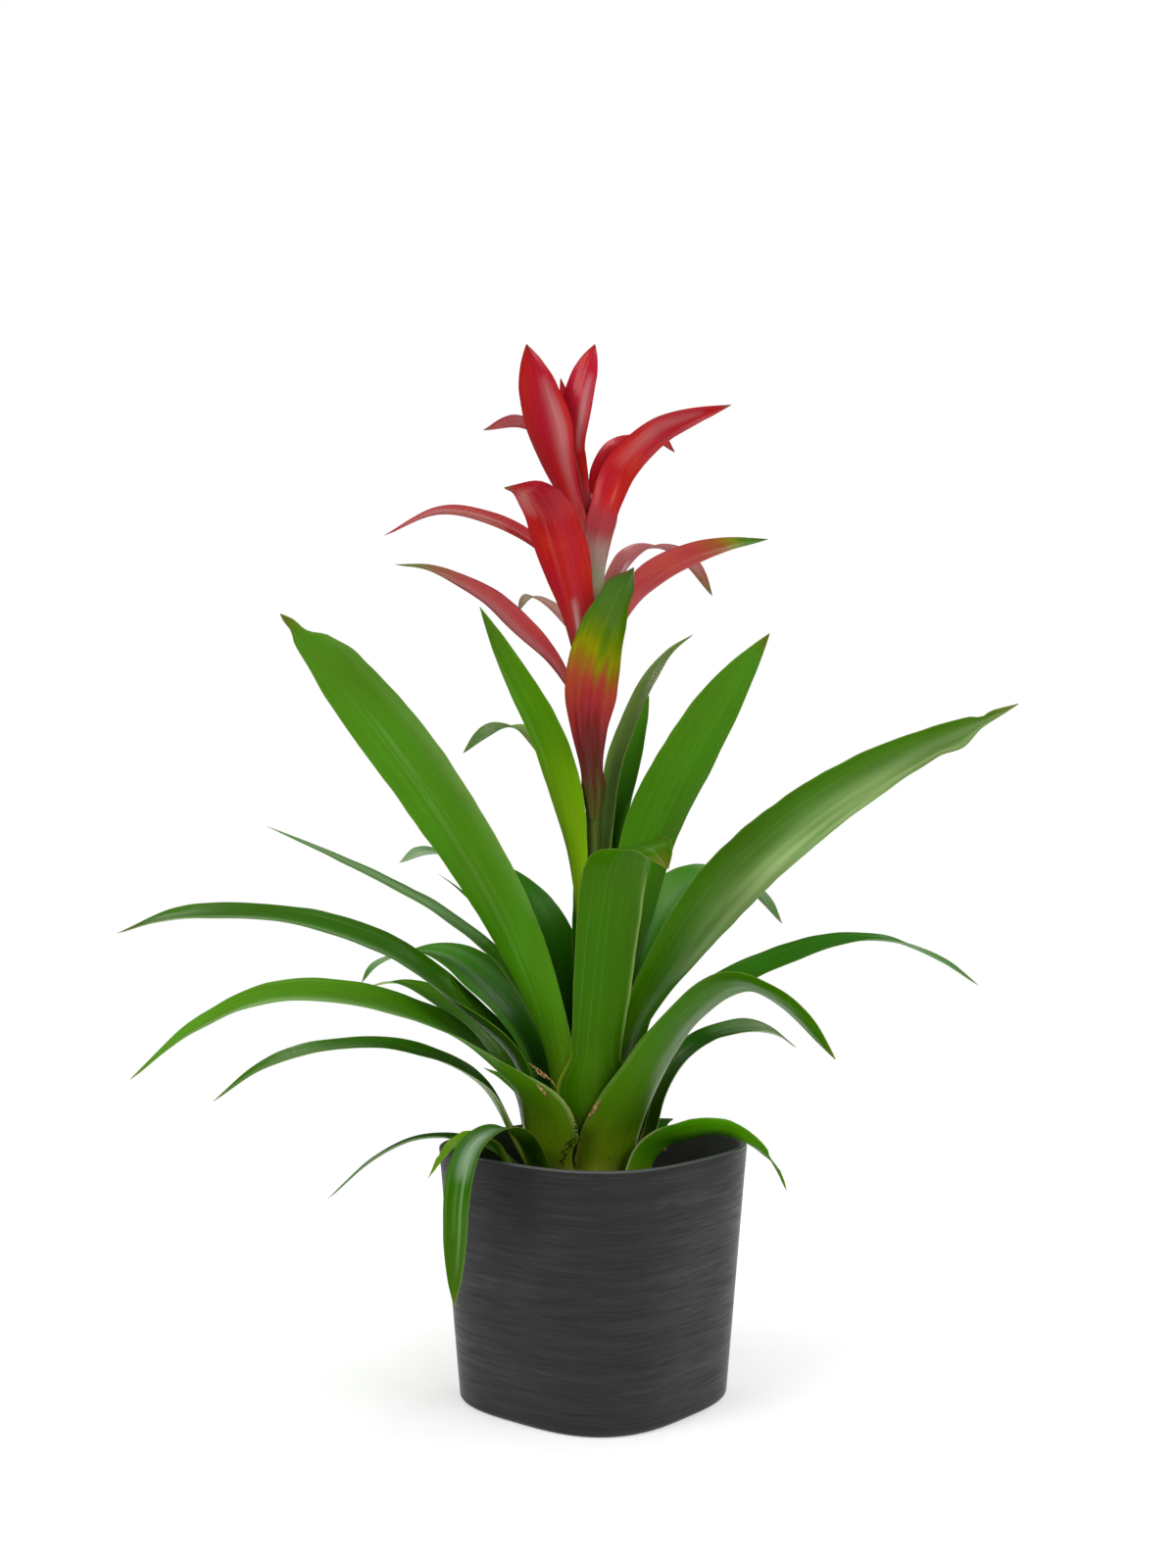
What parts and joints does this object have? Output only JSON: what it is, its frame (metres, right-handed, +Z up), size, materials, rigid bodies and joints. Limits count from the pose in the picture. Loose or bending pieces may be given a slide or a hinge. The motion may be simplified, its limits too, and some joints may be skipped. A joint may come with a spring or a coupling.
{
  "type": "potted guzmania",
  "caption": "Bromeliad with arching green strap leaves round an upright stalk of red bracts, in a rounded square anthracite pot filled with potting soil.",
  "frame": {"origin": "middle of the pot's flat underside", "axes": "+Z up along the stalk; -Y is the front, where one rounded corner of the pot points; +X is the plant's right as seen from the front"},
  "size_m": [0.4372, 0.2569, 0.5092],
  "materials": {
    "pot": "anthracite, finely brushed",
    "soil": "loose, matt",
    "stem": "waxy",
    "flowers": "waxy",
    "leaf": "satin",
    "dark_leaf": "satin",
    "yellow_leaf": "satin",
    "bract": "glossy, waxy",
    "pink_bract": "satin",
    "greenish_bract": "glossy, waxy"
  },
  "bodies": {
    "root": {"pot": "pot", "potting_soil": "soil", "stem": "stem", "flower_cluster": "flowers", "leaf_back_upright": "dark_leaf", "leaf_right_upright": "leaf", "leaf_back_left": "dark_leaf", "leaf_right_tall": "leaf", "leaf_left_wisp": "dark_leaf", "leaf_left_high": "leaf", "leaf_back_right": "leaf", "leaf_left_tall": "leaf", "leaf_back_arching": "dark_leaf", "leaf_front_centre": "leaf", "leaf_left_back": "dark_leaf", "leaf_right_long": "dark_leaf", "leaf_front_right": "leaf", "leaf_left_long": "leaf", "leaf_back_low": "dark_leaf", "leaf_right_dark": "dark_leaf", "leaf_front_left": "leaf", "leaf_back_spread": "dark_leaf", "leaf_left_bright": "yellow_leaf", "leaf_low_back_right": "leaf", "leaf_left_low": "leaf", "leaf_low_right": "leaf", "leaf_left_tiny": "leaf", "leaf_low_left_thin": "leaf", "leaf_over_rim": "leaf", "leaf_low_left_torn": "leaf", "stalk_leaf_left": "yellow_leaf", "stalk_leaf_back": "dark_leaf", "stalk_leaf_right": "dark_leaf", "stalk_leaf_back_left": "dark_leaf", "bract_front_low": "greenish_bract", "bract_left_low": "bract", "bract_front_high": "bract", "bract_right_low": "bract", "bract_back_left": "pink_bract", "bract_back_right": "pink_bract", "bract_left_middle": "bract", "bract_right_high": "bract", "bract_back_high": "pink_bract", "bract_right_arching": "bract", "bract_left_small": "pink_bract", "bract_top_left": "bract", "bract_top_back": "bract", "bract_top_right": "bract"}
  },
  "joints": []
}
